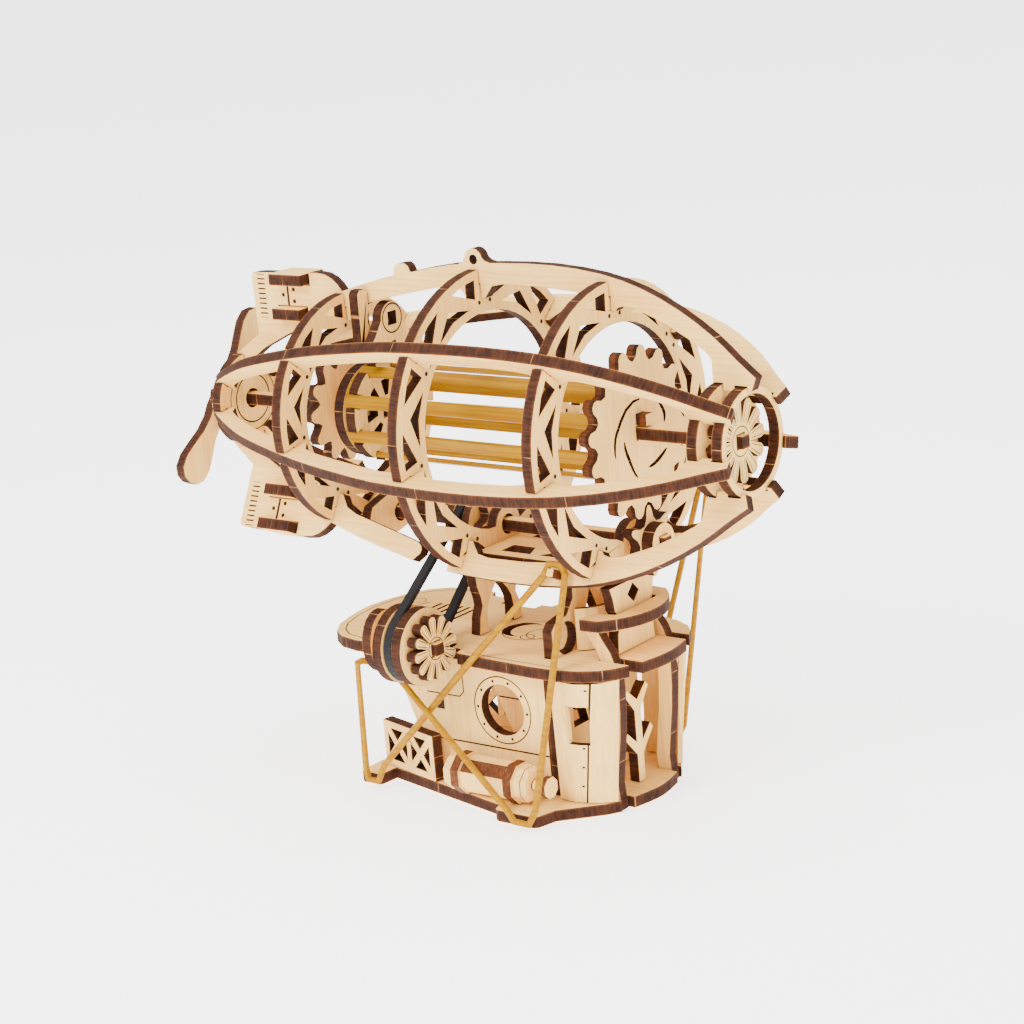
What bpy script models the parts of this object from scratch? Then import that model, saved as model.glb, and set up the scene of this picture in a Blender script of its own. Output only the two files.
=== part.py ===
"""Plywood mechanical airship kit: ribbed envelope, gear train, rubber motor and gondola.

Frame: +X towards the nose, +Y port, +Z up, base plate on Z = 0. Sizes below are in millimetres.
Every plate is cut from one sheet thickness; plates cross each other in half-depth slots.
"""
import math

import bmesh
import bpy
from mathutils import Matrix, Vector
from mathutils.geometry import tessellate_polygon

# Driving dimensions, millimetres
MM = 0.001
PLY = 2.7                 # sheet thickness
GAP = 0.2                 # clearance left by a laser cut slot
AXIS_Z = 83.0             # height of the envelope's axis above the ground
LONGERONS = 7
STEP = 360.0 / LONGERONS

# Rings: front face X, outer radius, inner radius
RING_AFT = (-39.6, 27.0, 18.2)
RING_MID = (0.0, 34.0, 24.4)
RING_FORE = (34.75, 32.7, 23.4)
TONGUE = 6.4              # depth of a longeron's tongue below the ring's rim
HALF_SLOT = 3.4           # depth of the slot in the ring's rim

# Outer edge of every longeron: X, distance from the axis
OUTER_EDGE = [
    (-81.0, 5.6), (-78.0, 8.8), (-73.0, 12.6), (-66.0, 16.9), (-59.0, 20.6), (-50.0, 24.1),
    (-40.0, 27.5), (-30.0, 30.3), (-20.0, 32.5), (-8.0, 34.7), (6.0, 35.6), (20.0, 35.6),
    (33.0, 34.2), (43.0, 31.5), (52.0, 27.4), (60.0, 22.3), (65.5, 17.6), (70.0, 14.0),
]
WEB_DEPTH = [(-81.0, 1.0), (-73.0, 3.6), (-60.0, 4.4), (-40.0, 4.6), (0.0, 4.6), (30.0, 5.2), (60.0, 4.8)]

# Nose and tail bearings
NOSE_RING = (67.6, 11.9, 10.15)      # front face, outer and inner radius
NOSE_DISC = (61.7, 12.3)             # front face, radius
TAIL_DISC = (-73.0, 11.2)
TAIL_CAP = (-77.6, 7.2)
SHAFT = 2.8                          # side of every square shaft
BORE = 2.3                           # radius of the round bearing holes
BORE_SIDE = SHAFT / 2.0 + GAP        # half side of the square holes on the shafts

# Gear train: the main gear turns the layshaft under it
LAYSHAFT = (1.5, -24.4)              # Y, Z
MAIN_TEETH = 16
PINION_TEETH = 6
CENTRES = math.hypot(*LAYSHAFT)
MODULE = 2.0 * CENTRES / (MAIN_TEETH + PINION_TEETH)

# Belt drive from the layshaft to the side engine
BELT_X = -9.5
PULLEY_UP = (*LAYSHAFT, 5.0, 6.7)              # Y, Z, core radius, flange radius
PULLEY_DOWN = (-24.6, -46.2, 6.9, 8.8)
FLANGE_UP = 2.1
FLANGE_DOWN = 2.65
BELT_THICK = 1.3
BELT_WIDE = 2.2

# Rubber motor
STRANDS = 8
STRAND_RADII = (10.0, 11.0)         # inner and outer face of the flat rubber band
STRAND_WIDE = 3.0
STRAND_AFT = (-34.95, -34.0)        # X of the turns behind the drum, far and near edge
STRAND_FORE = (36.15, 35.2)         # X of the turns behind the main gear
DRUM = (-31.0, 11.6, 9.8)           # front face, outer radius, radius at the bottom of a notch
DRUM_CORE = 7.9
DRUM_FLANGE = (-35.2, 10.8)         # front face, radius

# Gondola
BASE_TOP = -80.3
ROOF_TOP = -48.6
WALL_Y = 14.15
RIB_Y = 10.0
RIB_WIDE = 3.6
VISOR_TOP = -39.0
BULKHEAD_X = 22.4

TOP, UPPER_STBD, LOWER_STBD, BOTTOM_STBD, BOTTOM_PORT, LOWER_PORT, UPPER_PORT = range(7)


def clear_scene():
    """Empties the file before the model is built."""
    for obj in list(bpy.data.objects):
        bpy.data.objects.remove(obj)
    for mesh in list(bpy.data.meshes):
        bpy.data.meshes.remove(mesh)
    for mat in list(bpy.data.materials):
        bpy.data.materials.remove(mat)


def material(name, colour, roughness):
    """A plain Principled material."""
    mat = bpy.data.materials.new(name)
    mat.use_nodes = True
    shader = mat.node_tree.nodes["Principled BSDF"]
    shader.inputs["Base Color"].default_value = (*colour, 1.0)
    shader.inputs["Roughness"].default_value = roughness
    shader.inputs["Metallic"].default_value = 0.0
    mat.diffuse_color = (*colour, 1.0)
    return mat


def longeron_angle(index):
    """Angle of a longeron from port (+Y) towards up (+Z), in degrees."""
    return 90.0 + index * STEP


def interpolate(table, x):
    """Straight interpolation in a table of pairs."""
    if x <= table[0][0]:
        return table[0][1]
    for (xa, ya), (xb, yb) in zip(table, table[1:]):
        if x <= xb:
            return ya + (yb - ya) * (x - xa) / (xb - xa)
    return table[-1][1]


def smooth(points, steps):
    """Catmull-Rom curve through open control points."""
    ends = [points[0]] + points + [points[-1]]
    line = []
    for i in range(1, len(ends) - 2):
        before, start, stop, after = (Vector(p) for p in ends[i - 1:i + 3])
        for k in range(steps):
            t = k / steps
            pull = (stop - before) * t + (2 * before - 5 * start + 4 * stop - after) * t ** 2
            pull += (3 * start - before - 3 * stop + after) * t ** 3
            line.append(tuple(start + pull * 0.5))
    return line + [points[-1]]


def polar(radius, degrees):
    """Point of a circle about the axis, as (Y, Z)."""
    angle = math.radians(degrees)
    return (radius * math.cos(angle), radius * math.sin(angle))


def beside_longeron(index, radius, side):
    """Point at a radius, a distance beside a longeron's middle plane."""
    angle = math.radians(longeron_angle(index))
    return (
        radius * math.cos(angle) - side * math.sin(angle),
        radius * math.sin(angle) + side * math.cos(angle),
    )


def circle(radius, count, centre=(0.0, 0.0), turn=0.0):
    """Regular polygon."""
    points = []
    for i in range(count):
        angle = math.radians(turn) + 2.0 * math.pi * i / count
        points.append((centre[0] + radius * math.cos(angle), centre[1] + radius * math.sin(angle)))
    return points


def square(side, centre=(0.0, 0.0), turn=0.0):
    """Square hole or bar section."""
    return circle(side / math.sqrt(2.0), 4, centre, 45.0 + turn)


def mirrored(points):
    """The same outline on the other side of the first axis."""
    return [(u, -v) for u, v in reversed(points)]


def area(points):
    """Signed area of a closed outline."""
    total = 0.0
    for (ua, va), (ub, vb) in zip(points, points[1:] + points[:1]):
        total += ua * vb - ub * va
    return total / 2.0


def prism(name, outline, holes, low, high):
    """Closed mesh of an outline with holes, extruded between two levels of its third axis."""
    loops = [outline if area(outline) > 0 else outline[::-1]]
    loops += [hole if area(hole) < 0 else hole[::-1] for hole in holes]
    flat = [Vector((u, v, 0.0)) for loop in loops for u, v in loop]
    bm = bmesh.new()
    bottom = [bm.verts.new((p.x * MM, p.y * MM, low * MM)) for p in flat]
    top = [bm.verts.new((p.x * MM, p.y * MM, high * MM)) for p in flat]
    vectors = [[Vector((u, v, 0.0)) for u, v in loop] for loop in loops]
    for a, b, c in tessellate_polygon(vectors):
        if (flat[b] - flat[a]).cross(flat[c] - flat[a]).z < 0:
            b, c = c, b
        bm.faces.new((top[a], top[b], top[c]))
        bm.faces.new((bottom[a], bottom[c], bottom[b]))
    start = 0
    for loop in loops:
        count = len(loop)
        for i in range(count):
            j = start + (i + 1) % count
            k = start + i
            bm.faces.new((bottom[k], bottom[j], top[j], top[k]))
        start += count
    mesh = bpy.data.meshes.new(name)
    bm.to_mesh(mesh)
    bm.free()
    mesh.shade_smooth()
    mesh.set_sharp_from_angle(angle=math.radians(35.0))
    return mesh


def fuse(obj, tool):
    """Joins a second closed shape to an object with an exact union."""
    tool.hide_render = True
    tool.display_type = "WIRE"
    union = obj.modifiers.new("union_" + tool.name, "BOOLEAN")
    union.operation = "UNION"
    union.solver = "EXACT"
    union.object = tool


def add(name, mesh, mat, origin=(0.0, 0.0, 0.0), axes=None, parent=None):
    """Puts a mesh in the scene; axes are the world directions of its first two local axes."""
    obj = bpy.data.objects.new(name, mesh)
    bpy.context.scene.collection.objects.link(obj)
    mesh.materials.append(mat)
    u, v = axes if axes else (Vector((1, 0, 0)), Vector((0, 1, 0)))
    w = u.cross(v)
    turn = Matrix((u, v, w)).transposed().to_4x4()
    place = Matrix.Translation(Vector((origin[0], origin[1], origin[2] + AXIS_Z)) * MM)
    world = place @ turn
    if parent:
        obj.parent = parent
        obj.matrix_parent_inverse = parent.matrix_world.inverted()
    obj.matrix_world = world
    return obj


def empty(name, origin):
    """Empty on a joint's axis."""
    obj = bpy.data.objects.new(name, None)
    bpy.context.scene.collection.objects.link(obj)
    obj.location = Vector((origin[0], origin[1], origin[2] + AXIS_Z)) * MM
    obj.empty_display_size = 0.01
    bpy.context.view_layer.update()
    return obj


ACROSS = (Vector((0, 1, 0)), Vector((0, 0, 1)))       # plates square to X, drawn in (Y, Z)
UPRIGHT = (Vector((1, 0, 0)), Vector((0, 0, 1)))      # plates square to Y, drawn in (X, Z)
LEVEL = (Vector((1, 0, 0)), Vector((0, 1, 0)))        # plates square to Z, drawn in (X, Y)


def cross_plate(name, mat, outline, holes, front, centre=(0.0, 0.0), thick=PLY, parent=None):
    """Plate square to X whose front face is at the given X; outline is about its centre."""
    mesh = prism(name, outline, holes, -thick, 0.0)
    return add(name, mesh, mat, (front, centre[0], centre[1]), ACROSS, parent)


# Longerons


OUTER_LINE = smooth(OUTER_EDGE, 2)


def outer_radius(x):
    """Outer edge of the longerons."""
    return interpolate(OUTER_LINE, x)


def inner_radius(x):
    """Inner edge of the longerons away from the rings."""
    return outer_radius(x) - interpolate(WEB_DEPTH, x)


def tongue(front, radius):
    """Inner edge of a longeron where a ring crosses it, from fore to aft."""
    low = radius - TONGUE
    slot = radius - HALF_SLOT + GAP
    back = front - PLY
    return [
        (front + 6.5, inner_radius(front + 6.5)),
        (front + 3.4, inner_radius(front + 3.4) - 0.5),
        (front + 1.9, low + 0.8),
        (front + 1.3, low),
        (front + GAP, low),
        (front + GAP, slot),
        (back - GAP, slot),
        (back - GAP, low),
        (back - 1.3, low),
        (back - 1.9, low + 0.8),
        (back - 3.4, inner_radius(back - 3.4) - 0.5),
        (back - 6.5, inner_radius(back - 6.5)),
    ]


def nose_edge():
    """Inner edge of a longeron round the nose ring and the bearing disc, fore to aft."""
    ring_x, ring_r, _ = NOSE_RING
    disc_x, disc_r = NOSE_DISC
    step = disc_x - PLY + 0.4
    return [
        (68.8, 11.1),
        (ring_x + GAP, 11.1),
        (ring_x + GAP, ring_r + GAP),
        (ring_x - PLY - GAP, ring_r + GAP),
        (ring_x - PLY - GAP, 10.9),
        (disc_x + GAP, 10.9),
        (disc_x + GAP, disc_r + GAP),
        (step, disc_r + GAP),
        (step, inner_radius(step) - 0.6),
        (step - 1.4, inner_radius(step - 1.4)),
        (54.0, inner_radius(54.0)),
        (48.0, inner_radius(48.0)),
    ]


def tail_edge():
    """Inner edge of a longeron at the tail bearing and the tail cap, fore to aft."""
    disc_x, disc_r = TAIL_DISC
    cap_x, cap_r = TAIL_CAP
    slot = disc_r - 2.2 + GAP
    return [
        (-58.0, inner_radius(-58.0)),
        (-66.0, inner_radius(-66.0)),
        (disc_x + 2.4, inner_radius(disc_x + 2.4) - 0.6),
        (disc_x + 1.4, slot - 1.6),
        (disc_x + GAP, slot - 1.6),
        (disc_x + GAP, slot),
        (disc_x - PLY - GAP, slot),
        (disc_x - PLY - GAP, 6.2),
        (cap_x + GAP, 5.2),
        (cap_x + GAP, cap_r - 2.4 + GAP),
        (-81.0, cap_r - 2.4 + GAP),
    ]


def fin_edge():
    """Outline of a tail fin standing on a longeron's outer edge, aft to fore."""
    return [
        (-67.6, outer_radius(-67.6)), (-67.9, 29.8), (-67.4, 30.7), (-65.0, 30.9), (-60.3, 31.0),
        (-60.3, 28.3), (-49.9, 28.3), (-49.9, 31.3), (-47.5, 31.4), (-45.0, 31.1), (-43.0, 30.2),
        (-41.4, 28.9), (-40.2, outer_radius(-40.2)),
    ]


def knob_edge():
    """Small knob on the top longeron between the aft and middle rings."""
    return [
        (-24.4, outer_radius(-24.4)), (-24.0, 33.6), (-22.9, 34.4), (-21.0, 34.6), (-20.0, 34.0),
        (-19.4, outer_radius(-19.4)),
    ]


def lug_edge():
    """Suspension lug over the middle ring."""
    points = [(-5.6, outer_radius(-5.6)), (-4.4, 35.4)]
    for i in range(7):
        angle = math.radians(170.0 - i * 160.0 / 6.0)
        points.append((-1.2 + 2.5 * math.cos(angle), 36.1 + 2.5 * math.sin(angle)))
    points += [(2.0, 35.9), (3.4, outer_radius(3.4))]
    return points


def outer_line(start, stop, fin, lug):
    """Outer edge between two stations, with the fin and the lug where they stand."""
    inserts = []
    if fin:
        inserts.append(fin_edge())
    if lug:
        inserts += [knob_edge(), lug_edge()]
    line = [(start, outer_radius(start))]
    line += [(x, r) for x, r in OUTER_LINE if start < x < stop]
    line.append((stop, outer_radius(stop)))
    for points in inserts:
        before = [p for p in line if p[0] < points[0][0]]
        after = [p for p in line if p[0] > points[-1][0]]
        line = before + points + after
    return line


def web_points(start, stop):
    """Plain inner edge between two stations, fore to aft."""
    count = max(1, int(abs(start - stop) / 7.0))
    return [(x, inner_radius(x)) for x in (start + (stop - start) * k / count for k in range(1, count))]


def inner_line_aft():
    """Inner edge aft of the middle ring."""
    return web_points(-9.2, -33.1) + tongue(*RING_AFT[:2]) + web_points(-48.8, -58.0) + tail_edge()


def inner_line_fore():
    """Inner edge forward of the middle ring, down to that ring's tongue."""
    return nose_edge() + tongue(*RING_FORE[:2]) + web_points(25.5, 6.5)


def longeron_outlines(fin, lug):
    """Outline of a whole longeron."""
    outline = outer_line(OUTER_EDGE[0][0], OUTER_EDGE[-1][0], fin, lug)
    return outline + inner_line_fore() + tongue(*RING_MID[:2]) + inner_line_aft()


def split_outlines():
    """Outlines of the two pieces of the longeron that leaves room for the belt."""
    end = [(-13.4, 32.6), (-12.6, 31.9), (-12.4, 31.0), (-12.8, 30.1), (-13.9, 29.4)]
    aft = outer_line(OUTER_EDGE[0][0], -14.4, True, False) + end + [(-20.0, inner_radius(-20.0))]
    aft += web_points(-20.0, -33.1) + tongue(*RING_AFT[:2]) + web_points(-48.8, -58.0) + tail_edge()
    fore = outer_line(-4.4, OUTER_EDGE[-1][0], False, False) + inner_line_fore()
    fore += [p for p in tongue(*RING_MID[:2]) if p[0] > -4.3]
    fore += [(-4.4, RING_MID[1] - TONGUE + 1.0)]
    return aft, fore


def add_longeron(name, index, mat, outline, fin=False, lug=False):
    """Adds a longeron in its radial plane."""
    holes = []
    if fin:
        low, high = FIN_LEVELS[0] - GAP, FIN_LEVELS[0] + PLY + GAP
        holes.append([(-60.3, low), (-51.2, low), (-51.2, high), (-60.3, high)])
    if lug:
        holes.append(circle(1.1, 10, (-1.2, 36.1)))
    angle = math.radians(longeron_angle(index))
    radial = Vector((0.0, math.cos(angle), math.sin(angle)))
    mesh = prism(name, outline, holes, -PLY / 2.0, PLY / 2.0)
    return add(name, mesh, mat, (0.0, 0.0, 0.0), (Vector((1, 0, 0)), radial))


def build_longerons(ply):
    """Seven longerons; the bottom starboard one is in two pieces so the belt can pass."""
    plain = longeron_outlines(False, False)
    finned = longeron_outlines(True, False)
    add_longeron("longeron_top", TOP, ply, longeron_outlines(True, True), fin=True, lug=True)
    add_longeron("longeron_upper_starboard", UPPER_STBD, ply, plain)
    add_longeron("longeron_lower_starboard", LOWER_STBD, ply, plain)
    add_longeron("longeron_bottom_port", BOTTOM_PORT, ply, finned, fin=True)
    add_longeron("longeron_lower_port", LOWER_PORT, ply, plain)
    add_longeron("longeron_upper_port", UPPER_PORT, ply, plain)
    aft, fore = split_outlines()
    add_longeron("longeron_bottom_starboard_aft", BOTTOM_STBD, ply, aft, fin=True)
    holder = add_longeron("longeron_bottom_starboard_fore", BOTTOM_STBD, ply, fore)
    peg = prism("stay_peg", [(25.6, 31.9), (27.4, 31.9), (27.4, 33.7), (25.6, 33.7)], [], -5.4, -1.0)
    angle = math.radians(longeron_angle(BOTTOM_STBD))
    radial = Vector((0.0, math.cos(angle), math.sin(angle)))
    fuse(holder, add("stay_peg", peg, ply, (0.0, 0.0, 0.0), (Vector((1, 0, 0)), radial)))


FIN_LEVELS = (20.4, 28.5)      # inner and outer plate of each tail fin, distance from the axis


def build_fin_plates(ply):
    """Two short cross plates through each tail fin."""
    names = ((TOP, "top"), (BOTTOM_STBD, "bottom_starboard"), (BOTTOM_PORT, "bottom_port"))
    for index, label in names:
        angle = math.radians(longeron_angle(index))
        radial = Vector((0.0, math.cos(angle), math.sin(angle)))
        side = radial.cross(Vector((1, 0, 0)))
        for level, place, fore in ((FIN_LEVELS[1], "outer", -50.2), (FIN_LEVELS[0], "inner", -51.5)):
            outline = [(-60.0, -4.2), (fore, -4.2), (fore, 4.2), (-60.0, 4.2)]
            mesh = prism("fin", outline, [], level, level + PLY)
            name = "fin_plate_" + label + "_" + place
            add(name, mesh, ply, (0, 0, 0), (Vector((1, 0, 0)), side))


# Rings


def truss_holes(ring, start, braced=True):
    """Openings of one bay between two longerons."""
    _, outer, inner = ring
    mid = start + STEP / 2.0
    holes = []
    if braced:
        holes.append([polar(outer - 4.5, mid), polar(inner + 1.9, mid - 13.0), polar(inner + 2.3, mid),
                      polar(inner + 1.9, mid + 13.0)])
    for sign in (-1, 1):
        holes.append([
            polar(outer - 2.1, mid + sign * 5.5), polar(outer - 1.9, mid + sign * 13.0),
            polar(outer - 2.0, mid + sign * 20.2), polar(inner + 3.4, mid + sign * 19.0),
        ])
    return holes


def ring_rim(radius, depth, arcs=7):
    """Outer rim with a slot for each longeron."""
    half = PLY / 2.0 + GAP
    rim = []
    for i in range(LONGERONS):
        edge = math.degrees(math.asin(half / radius))
        low = radius - depth
        rim.append(polar(radius, longeron_angle(i) - edge))
        rim.append(beside_longeron(i, low, -half))
        rim.append(beside_longeron(i, low, half))
        rim.append(polar(radius, longeron_angle(i) + edge))
        start = longeron_angle(i) + edge
        span = STEP - 2.0 * edge
        rim += [polar(radius, start + span * k / arcs) for k in range(1, arcs)]
    return rim


def inner_edge(radius, boss):
    """Inner edge of a ring, with a boss round the layshaft's bearing if asked for."""
    count = 8 * LONGERONS
    towards = math.degrees(math.atan2(LAYSHAFT[1], LAYSHAFT[0])) % 360.0
    edge = []
    placed = False
    for i in range(count):
        angle = 90.0 + 360.0 * i / count
        if boss and abs(angle - towards) < 12.5:
            if not placed:
                edge += [
                    (LAYSHAFT[0] + 4.4 * math.cos(math.radians(a)), LAYSHAFT[1] + 4.4 * math.sin(math.radians(a)))
                    for a in range(174, 0, -21)
                ]
                placed = True
            continue
        edge.append(polar(radius, angle))
    return edge


def add_ring(name, mat, ring, boss=False):
    """One envelope ring with its truss openings."""
    front, outer, inner = ring
    holes = [inner_edge(inner, boss)]
    if boss:
        holes.append(circle(BORE, 16, LAYSHAFT))
    for i in range(LONGERONS):
        holes += truss_holes(ring, longeron_angle(i), not (boss and i == BOTTOM_STBD))
    return cross_plate(name, mat, ring_rim(outer, HALF_SLOT), holes, front)


def build_rings(ply):
    """Three rings, the nose ring, and the bearing plates at nose and tail."""
    add_ring("ring_aft", ply, RING_AFT)
    add_ring("ring_mid", ply, RING_MID, boss=True)
    add_ring("ring_fore", ply, RING_FORE, boss=True)
    front, outer, inner = NOSE_RING
    cross_plate("nose_ring", ply, circle(outer, 42), [circle(inner, 42)], front)
    cross_plate("nose_bearing", ply, circle(NOSE_DISC[1], 42), [circle(BORE, 16)], NOSE_DISC[0])
    cross_plate("tail_bearing", ply, ring_rim(TAIL_DISC[1], 2.2, 5), [circle(BORE, 16)], TAIL_DISC[0])
    cross_plate("tail_cap", ply, ring_rim(TAIL_CAP[1], 2.4, 3), [circle(BORE, 16)], TAIL_CAP[0])


# Rotor


def tooth_ring(teeth, root, tip, phase, fill=0.30, crown=0.13):
    """Outline of a wheel with rounded trapezoid teeth; a tooth points along the phase angle."""
    pitch = 360.0 / teeth
    points = []
    for i in range(teeth):
        mid = phase + i * pitch
        points += [
            polar(root, mid - 0.5 * pitch),
            polar(root + 0.25 * (tip - root), mid - fill * pitch),
            polar(tip - 0.22 * (tip - root), mid - (crown + 0.03) * pitch),
            polar(tip, mid - 0.5 * crown * pitch),
            polar(tip, mid + 0.5 * crown * pitch),
            polar(tip - 0.22 * (tip - root), mid + (crown + 0.03) * pitch),
            polar(root + 0.25 * (tip - root), mid + fill * pitch),
        ]
    return points


def fan_outline(blades, hub, tip, turn=0.0, wide=0.36):
    """Flat fan with rounded blades, narrow at the hub."""
    pitch = 360.0 / blades
    points = []
    for i in range(blades):
        mid = turn + i * pitch
        points += [
            polar(hub, mid - 0.5 * pitch),
            polar(tip * 0.86, mid - wide * pitch),
            polar(tip * 0.96, mid - 0.24 * pitch),
            polar(tip, mid),
            polar(tip * 0.96, mid + 0.24 * pitch),
            polar(tip * 0.86, mid + wide * pitch),
        ]
    return points


def square_shaft(name, mat, back, front, centre, parent, side=SHAFT, turn=0.0):
    """Square bar along X."""
    outline = square(side, turn=turn)
    return cross_plate(name, mat, outline, [], front, centre, front - back, parent)


def band_corners(x_pair, y_pair, angle):
    """Four corners of the band where it runs along X, at two distances beside a radial line."""
    turn = math.radians(angle)
    out = (math.cos(turn), math.sin(turn))
    side = (-math.sin(turn), math.cos(turn))
    low, high = STRAND_RADII
    corners = []
    for x, y, radius in ((x_pair[0], y_pair[0], low), (x_pair[1], y_pair[1], low),
                         (x_pair[1], y_pair[1], high), (x_pair[0], y_pair[0], high)):
        corners.append((x, radius * out[0] + y * side[0], radius * out[1] + y * side[1]))
    return corners


def band_rows():
    """Rows of corners of the closed flat band that zig-zags between the drum and the main gear."""
    pitch = 360.0 / STRANDS
    half = STRAND_WIDE / 2.0
    rows = []
    for k in range(STRANDS):
        angle = pitch * (k + 0.5)
        if k % 2 == 0:
            near, far, edges = STRAND_FORE, STRAND_AFT, (-half, half)
            start, stop, turn = near[::-1], far, far
        else:
            near, far, edges = STRAND_AFT, STRAND_FORE, (half, -half)
            start, stop, turn = near, far[::-1], far[::-1]
        rows.append(band_corners(start, edges, angle))
        rows.append(band_corners(stop, edges, angle))
        rows += [band_corners(turn, (0.0, 0.0), angle + pitch * part) for part in (0.22, 0.5, 0.78)]
    return rows


def build_band(mat, parent):
    """The rubber motor as one closed flat band."""
    bm = bmesh.new()
    rows = [[bm.verts.new(Vector(p) * MM) for p in row] for row in band_rows()]
    for here, following in zip(rows, rows[1:] + rows[:1]):
        for i in range(4):
            j = (i + 1) % 4
            bm.faces.new((here[i], here[j], following[j], following[i]))
    bmesh.ops.recalc_face_normals(bm, faces=bm.faces)
    mesh = bpy.data.meshes.new("rubber_motor")
    bm.to_mesh(mesh)
    bm.free()
    add("rubber_motor", mesh, mat, parent=parent)


def tube(name, mat, path, radius, cyclic, parent=None, sides=1):
    """Round band along a polyline, as a mesh."""
    curve = bpy.data.curves.new(name, "CURVE")
    curve.dimensions = "3D"
    curve.bevel_depth = radius * MM
    curve.bevel_resolution = sides
    curve.use_fill_caps = True
    spline = curve.splines.new("POLY")
    spline.points.add(len(path) - 1)
    for point, (x, y, z) in zip(spline.points, path):
        point.co = (x * MM, y * MM, z * MM, 1.0)
    spline.use_cyclic_u = cyclic
    source = bpy.data.objects.new(name + "_path", curve)
    bpy.context.scene.collection.objects.link(source)
    graph = bpy.context.evaluated_depsgraph_get()
    mesh = bpy.data.meshes.new_from_object(source.evaluated_get(graph))
    bpy.data.objects.remove(source)
    bpy.data.curves.remove(curve)
    mesh.materials.clear()
    mesh.name = name
    obj = add(name, mesh, mat, (0, 0, 0), None, parent)
    obj.data.shade_smooth()
    return obj


def notched_disc(radius, floor, half):
    """Disc with a flat-bottomed notch for every strand of the band."""
    pitch = 360.0 / STRANDS
    edge = math.degrees(math.asin(half / radius))
    dip = math.degrees(math.atan2(half, floor))
    deep = math.hypot(half, floor)
    rim = []
    for k in range(STRANDS):
        mid = pitch * (k + 0.5)
        rim += [polar(radius, mid - edge), polar(deep, mid - dip), polar(deep, mid + dip)]
        span = pitch - 2.0 * edge
        rim += [polar(radius, mid + edge + span * step / 4.0) for step in range(4)]
    return rim


def build_drum(ply, bar, axis):
    """Notched disc, core and flange that hold the aft end of the rubber motor."""
    front, radius, floor = DRUM
    windows = [wedge(3.6, 7.3, 45.0 * i - 12.0, 45.0 * i + 12.0) for i in range(STRANDS)]
    outline = notched_disc(radius, floor, STRAND_WIDE / 2.0 + GAP)
    drum = cross_plate("drum", ply, outline, bar + windows, front, parent=axis)
    back, flange = DRUM_FLANGE
    core = cross_plate("drum_core", ply, circle(DRUM_CORE, 32), bar, front - 2.5, (0, 0), front - 2.3 - back)
    rear = cross_plate("drum_flange", ply, circle(flange, 40), bar, back)
    fuse(drum, core)
    fuse(drum, rear)


def build_main_gear(ply, bar, axis):
    """Main gear with four curved slots and the key beside its shaft."""
    pitch_radius = MODULE * MAIN_TEETH / 2.0
    phase = math.degrees(math.atan2(LAYSHAFT[1], LAYSHAFT[0])) + 180.0 / MAIN_TEETH
    teeth = tooth_ring(MAIN_TEETH, pitch_radius - 2.2, pitch_radius + 0.9, phase, 0.30, 0.17)
    slots = [curved_slot(line, 0.5) for line in GEAR_SLOTS]
    gear = cross_plate("main_gear", ply, teeth, bar + slots, 39.2, parent=axis)
    key = [(-1.35, 1.85), (1.35, 1.85), (1.35, 4.3), (-1.35, 4.3)]
    fuse(gear, cross_plate("gear_key", ply, key, [], 41.9, (0, 0), 2.9))


def build_rotor(ply, rubber):
    """Nose fan, main gear, rubber motor, drum, tail gear and propeller on one axis."""
    axis = empty("rotor_axis", (0.0, 0.0, 0.0))
    bar = [square(SHAFT + 2 * GAP)]
    cross_plate("nose_fan", ply, fan_outline(12, 4.0, 9.3, 4.0), bar, 64.6, parent=axis)
    square_shaft("main_shaft", ply, 33.4, 65.9, (0, 0), axis)
    build_main_gear(ply, bar, axis)
    build_band(rubber, axis)
    build_drum(ply, bar, axis)
    tail = tooth_ring(12, 9.6, 12.6, 90.0, 0.34, 0.18)
    cross_plate("tail_gear", ply, tail, bar, -43.2, parent=axis)
    square_shaft("tail_shaft", ply, -85.4, -29.8, (0, 0), axis)
    cross_plate("propeller", ply, propeller_outline(), bar, -81.5, parent=axis)


def wedge(inner, outer, start, stop):
    """Radial window between two circles."""
    mid = (start + stop) / 2.0
    return [
        polar(inner, start + 3.0), polar(outer, start), polar(outer, mid), polar(outer, stop),
        polar(inner, stop - 3.0),
    ]


# Middle lines of the main gear's slots: radius, angle
GEAR_SLOTS = (
    ((7.2, 85.0), (7.8, 150.0), (9.1, 175.0), (10.2, 200.0)),
    ((6.1, 187.0), (6.9, 228.0), (9.7, 258.0)),
    ((8.5, 286.0), (9.7, 313.0), (10.9, 329.0)),
    ((9.1, 361.0), (9.6, 373.0), (9.0, 393.0)),
)


def curved_slot(line, half):
    """Slot that follows a curved line and tapers to its ends."""
    middle = smooth([(r, a, 0.0) for r, a in line], 3)
    last = len(middle) - 1
    wide = [half * math.sqrt(math.sin(math.pi * (i + 0.3) / (last + 0.6))) for i in range(last + 1)]
    outer = [polar(r + w, a) for (r, a, _), w in zip(middle, wide)]
    inner = [polar(r - w, a) for (r, a, _), w in zip(middle, wide)]
    return outer + inner[::-1]


def propeller_outline():
    """Two straight paddle blades on a round hub."""
    blade = [
        (4.0, -2.6), (7.0, -2.0), (11.0, -2.3), (15.0, -3.4), (18.5, -4.2), (21.5, -3.9), (23.2, -2.2),
        (23.6, 0.0), (23.0, 2.4), (21.0, 4.2), (18.0, 4.5), (15.0, 3.7), (11.0, 2.5), (7.0, 2.1), (4.0, 2.7),
    ]
    points = []
    for turn in (48.5, 228.5):
        angle = math.radians(turn)
        for u, v in blade:
            points.append((u * math.cos(angle) - v * math.sin(angle), u * math.sin(angle) + v * math.cos(angle)))
    return points


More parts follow.
